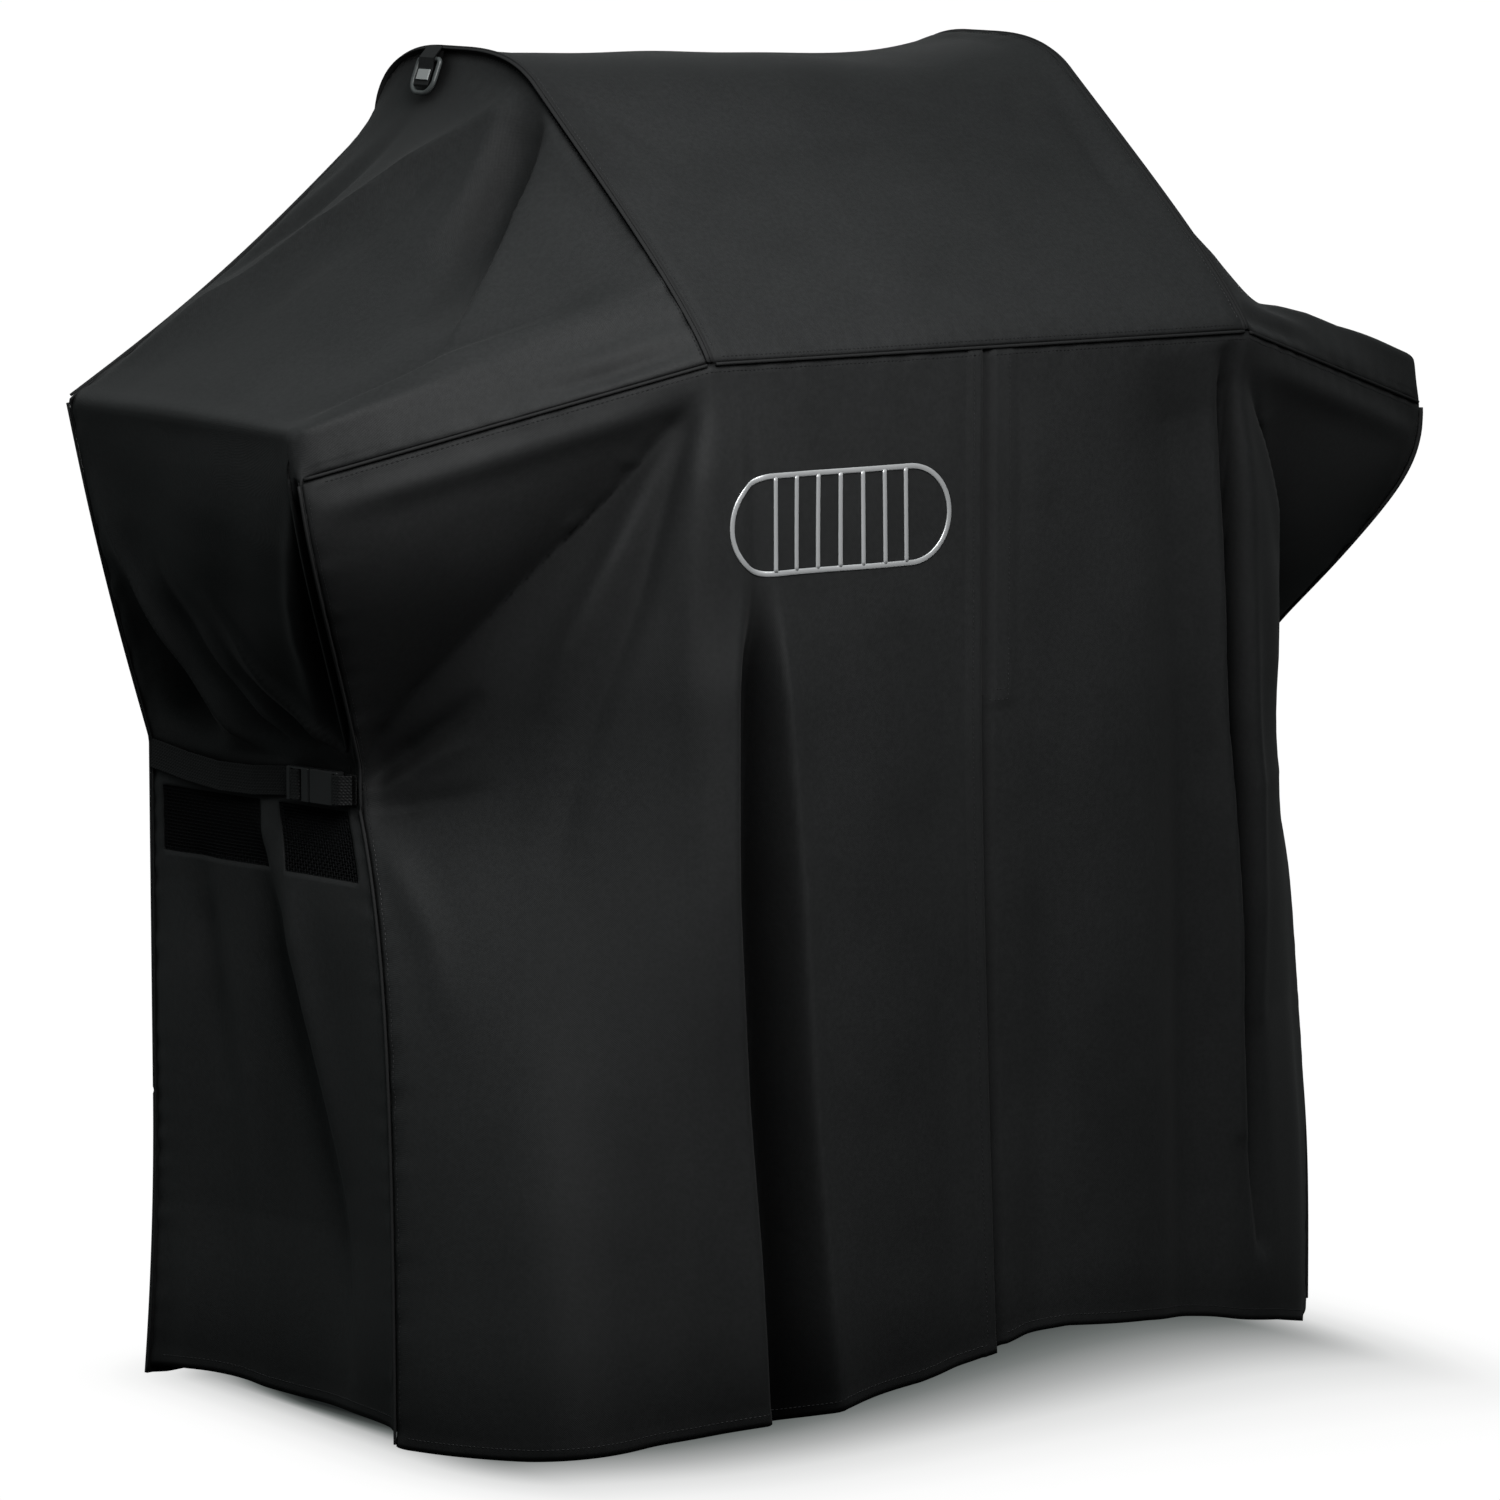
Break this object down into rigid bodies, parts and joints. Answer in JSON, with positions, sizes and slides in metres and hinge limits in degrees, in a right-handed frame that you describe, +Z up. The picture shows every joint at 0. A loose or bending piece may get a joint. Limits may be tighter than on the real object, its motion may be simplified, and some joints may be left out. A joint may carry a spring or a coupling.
{
  "type": "grill cover",
  "caption": "Black fabric cover for a cart grill with side shelves: arched hood, sloping ends, slit front, cinch straps with side-release buckles, mesh vents and hang loops.",
  "frame": {"origin": "on the floor, in the middle of the cover's outer box", "axes": "+Z up, +Y to the rear, +X to the cover's left as it faces the user (right in the front view)"},
  "size_m": [1.1702, 0.5028, 1.1314],
  "materials": {
    "cover_fabric": "coated woven polyester, satin",
    "seam_binding": "matte tape",
    "webbing": "ribbed webbing, matte",
    "vent_mesh": "open knitted mesh, matte",
    "buckle_plastic": "moulded acetal, satin",
    "badge_silver": "reflective silver print film"
  },
  "bodies": {
    "cover": {"front_badge": "badge_silver", "front_left_panel": "cover_fabric", "front_right_panel": "cover_fabric", "front_seam_binding": "seam_binding", "hood_panel": "cover_fabric", "left_arch_binding": "seam_binding", "left_buckle_socket": "buckle_plastic", "left_end_panel": "cover_fabric", "left_front_corner_binding": "seam_binding", "left_front_vent_mesh": "vent_mesh", "left_hang_tab": "webbing", "left_long_strap": "webbing", "left_rear_corner_binding": "seam_binding", "left_rear_vent_mesh": "vent_mesh", "left_roof_binding": "seam_binding", "left_shelf_binding": "seam_binding", "left_short_strap": "webbing", "left_side_skirt": "cover_fabric", "placket_facing": "seam_binding", "rear_panel": "cover_fabric", "rear_seam_binding": "seam_binding", "right_arch_binding": "seam_binding", "right_buckle_socket": "buckle_plastic", "right_end_panel": "cover_fabric", "right_front_corner_binding": "seam_binding", "right_front_vent_mesh": "vent_mesh", "right_hang_tab": "webbing", "right_long_strap": "webbing", "right_rear_corner_binding": "seam_binding", "right_rear_vent_mesh": "vent_mesh", "right_roof_binding": "seam_binding", "right_shelf_binding": "seam_binding", "right_short_strap": "webbing", "right_side_skirt": "cover_fabric"},
    "left_flap": {"front_left_flap": "cover_fabric"},
    "right_flap": {"front_right_flap": "cover_fabric"},
    "left_plug": {"left_buckle_plug": "buckle_plastic"},
    "left_upper_prong": {"left_upper_prong": "buckle_plastic"},
    "left_lower_prong": {"left_lower_prong": "buckle_plastic"},
    "left_loop": {"left_hang_loop": "buckle_plastic"},
    "right_plug": {"right_buckle_plug": "buckle_plastic"},
    "right_upper_prong": {"right_upper_prong": "buckle_plastic"},
    "right_lower_prong": {"right_lower_prong": "buckle_plastic"},
    "right_loop": {"right_hang_loop": "buckle_plastic"}
  },
  "joints": [
    {"name": "slit_left_fold", "type": "hinge", "parent": "cover", "child": "left_flap", "pos_m": [-0.25486, -0.244, 0.00615], "axis": [-0.3314, 0, -0.9435], "range_deg": [0, 120]},
    {"name": "slit_right_fold", "type": "hinge", "parent": "cover", "child": "right_flap", "pos_m": [0.19957, -0.244, 0.04969], "axis": [-0.3314, 0, 0.9435], "range_deg": [0, 120]},
    {"name": "left_buckle_slide", "type": "slide", "parent": "cover", "child": "left_plug", "axis": [-0.1864, 0.9825, 0], "range_m": [0, 0.035], "deforming": ["left_long_strap", "left_upper_prong", "left_lower_prong"]},
    {"name": "left_upper_squeeze", "type": "hinge", "parent": "left_plug", "child": "left_upper_prong", "pos_m": [-0.47407, 0.04543, 0.5389], "axis": [0.9825, 0.1864, 0], "range_deg": [0, 7], "stiffness_Nm_per_rad": 0.02},
    {"name": "left_lower_squeeze", "type": "hinge", "parent": "left_plug", "child": "left_lower_prong", "pos_m": [-0.47407, 0.04543, 0.5251], "axis": [-0.9825, -0.1864, 0], "range_deg": [0, 7], "stiffness_Nm_per_rad": 0.02},
    {"name": "left_loop_swing", "type": "hinge", "parent": "cover", "child": "left_loop", "pos_m": [-0.2875, 0.15, 1.1195], "axis": [0, 1, 0], "range_deg": [0, 150]},
    {"name": "right_buckle_slide", "type": "slide", "parent": "cover", "child": "right_plug", "axis": [0.1864, 0.9825, 0], "range_m": [0, 0.035], "deforming": ["right_long_strap", "right_upper_prong", "right_lower_prong"]},
    {"name": "right_upper_squeeze", "type": "hinge", "parent": "right_plug", "child": "right_upper_prong", "pos_m": [0.47407, 0.04543, 0.5389], "axis": [0.9825, -0.1864, 0], "range_deg": [0, 7], "stiffness_Nm_per_rad": 0.02},
    {"name": "right_lower_squeeze", "type": "hinge", "parent": "right_plug", "child": "right_lower_prong", "pos_m": [0.47407, 0.04543, 0.5251], "axis": [-0.9825, 0.1864, 0], "range_deg": [0, 7], "stiffness_Nm_per_rad": 0.02},
    {"name": "right_loop_swing", "type": "hinge", "parent": "cover", "child": "right_loop", "pos_m": [0.2875, 0.15, 1.1195], "axis": [0, -1, 0], "range_deg": [0, 150]}
  ],
  "couplings": [
    {"joint": "slit_right_fold", "follows": "slit_left_fold", "ratio": 1},
    {"joint": "left_lower_squeeze", "follows": "left_upper_squeeze", "ratio": 1},
    {"joint": "right_lower_squeeze", "follows": "right_upper_squeeze", "ratio": 1}
  ]
}
